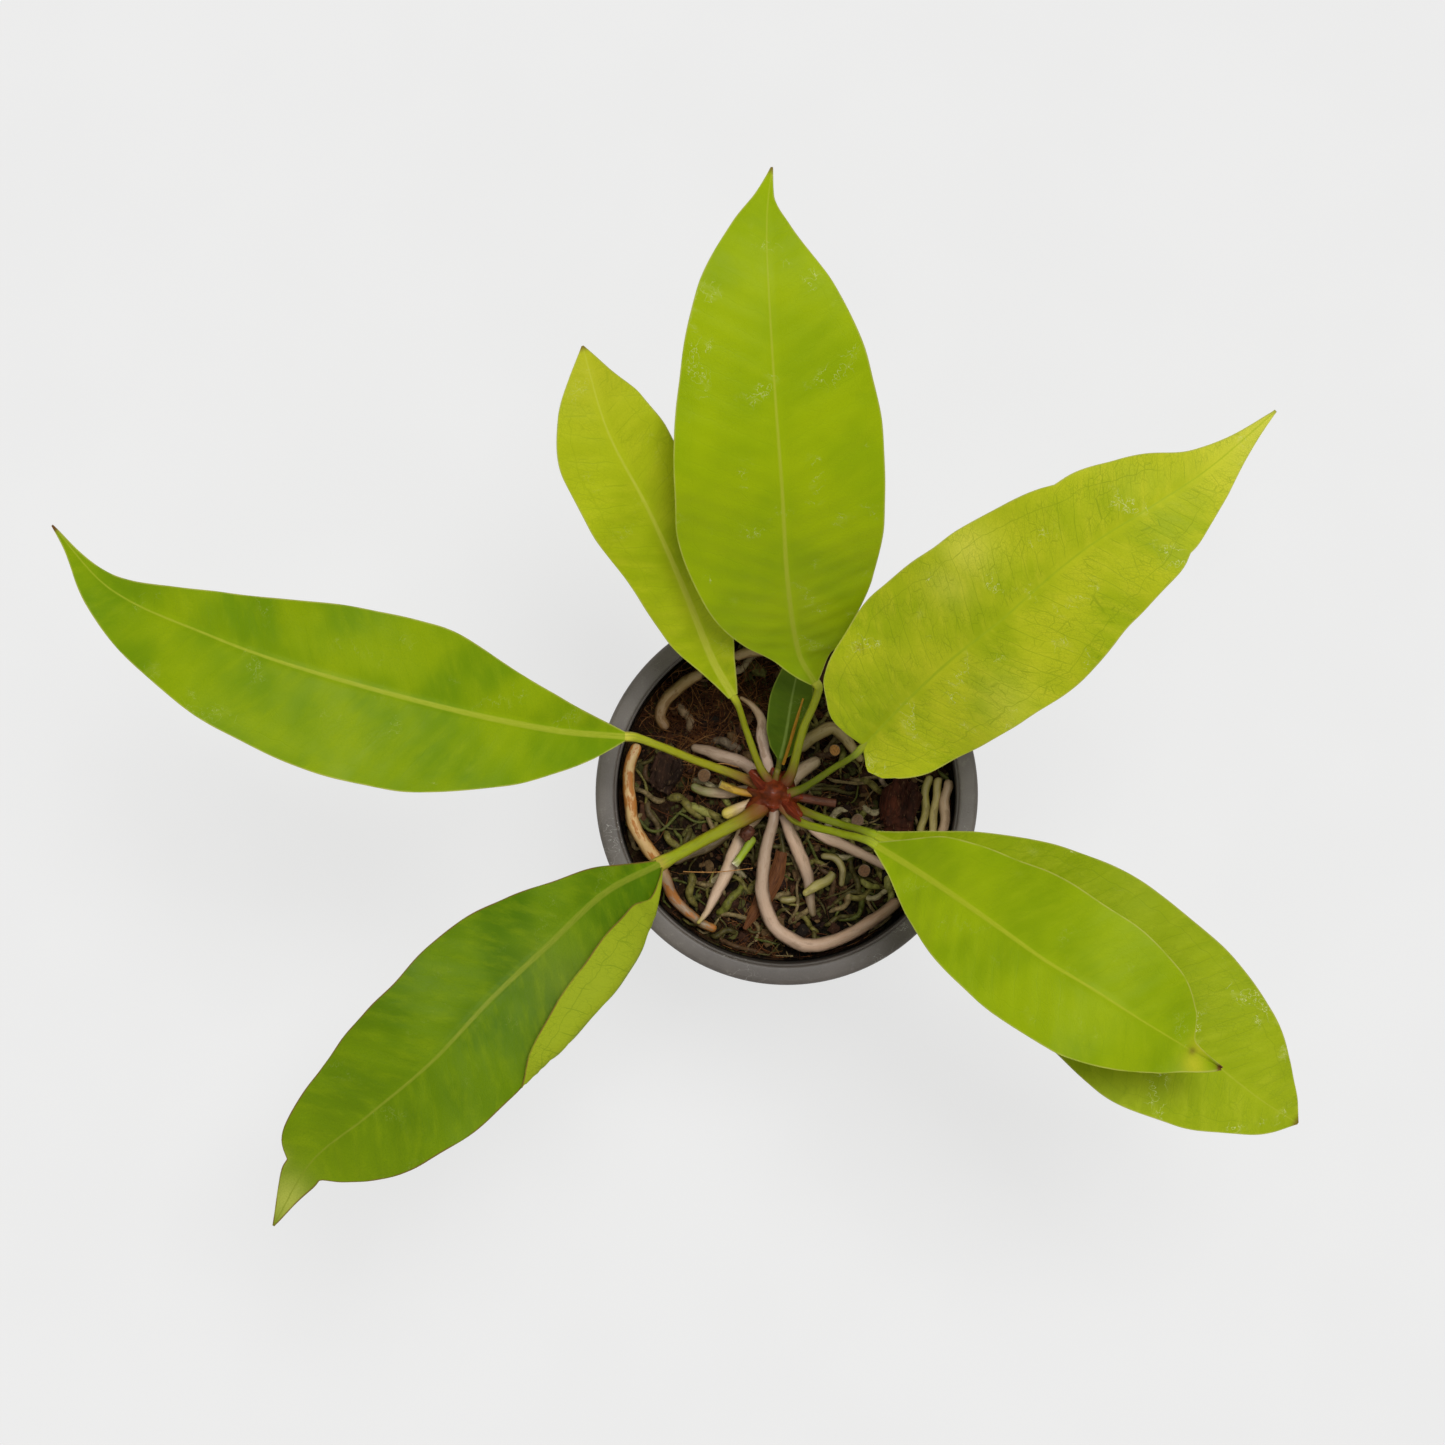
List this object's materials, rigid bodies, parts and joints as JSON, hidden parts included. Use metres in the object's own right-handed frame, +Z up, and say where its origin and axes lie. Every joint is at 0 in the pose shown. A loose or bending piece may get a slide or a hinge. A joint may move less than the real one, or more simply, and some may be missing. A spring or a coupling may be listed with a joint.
{
  "type": "potted anthurium",
  "caption": "Young strap-leaved anthurium with aerial roots on coarse bark and coir, in a round plastic nursery pot with a flat rim.",
  "frame": {"origin": "centre of the pot's underside, on the surface it stands on", "axes": "+Z up along the pot's axis; -Y is the front; the longest leaves reach out along X"},
  "size_m": [0.3774, 0.3112, 0.2228],
  "materials": {
    "pot": "moulded grey-brown plastic, slightly worn satin",
    "substrate": "matte dark coir and bark mix",
    "bark": "rough dark red-brown bark",
    "coir": "matte brown fibre",
    "crown": "waxy red-brown stem",
    "petiole": "waxy olive green stalk",
    "blade": "glossy leathery green leaf",
    "root": "matte pinkish-tan aerial root",
    "rootlet": "matte yellow-green thin root",
    "dry": "papery dried brown sheath"
  },
  "bodies": {
    "root": {"pot": "pot", "substrate": "substrate", "crown": "crown", "coir_clump": "coir", "chip_right": "bark", "chip_back": "bark", "chip_left": "bark", "blade_left": "blade", "petiole_left": "petiole", "blade_front_left": "blade", "petiole_front_left": "petiole", "blade_back_left": "blade", "petiole_back_left": "petiole", "blade_back": "blade", "petiole_back": "petiole", "blade_back_right": "blade", "petiole_back_right": "petiole", "blade_front_right": "blade", "petiole_front_right": "petiole", "blade_right": "blade", "petiole_right": "petiole", "blade_young": "blade", "petiole_young": "petiole", "root_left_wall": "root", "root_front_left": "root", "root_front_loop": "root", "root_front": "root", "root_right_front": "root", "root_left_stub": "root", "root_left_pink": "root", "root_back_up": "root", "root_back_left_arch": "root", "root_back_right": "root", "root_back_right_bend": "root", "root_back_left_wall": "root", "root_back_wall": "root", "root_under_petiole": "root", "rootlet_right_inner": "rootlet", "rootlet_right_middle": "rootlet", "rootlet_right_outer": "rootlet", "root_green_tip": "rootlet", "root_green_left": "rootlet", "root_green_hook": "rootlet", "shoot_front": "petiole", "stub_right": "petiole", "stub_left": "petiole", "cut_root_back": "root", "cut_root_left": "root", "cut_root_right": "root", "cut_root_front": "root", "sheath_back_left": "crown", "sheath_front_right": "crown", "sheath_dried": "dry", "strip_back": "dry"}
  },
  "joints": []
}
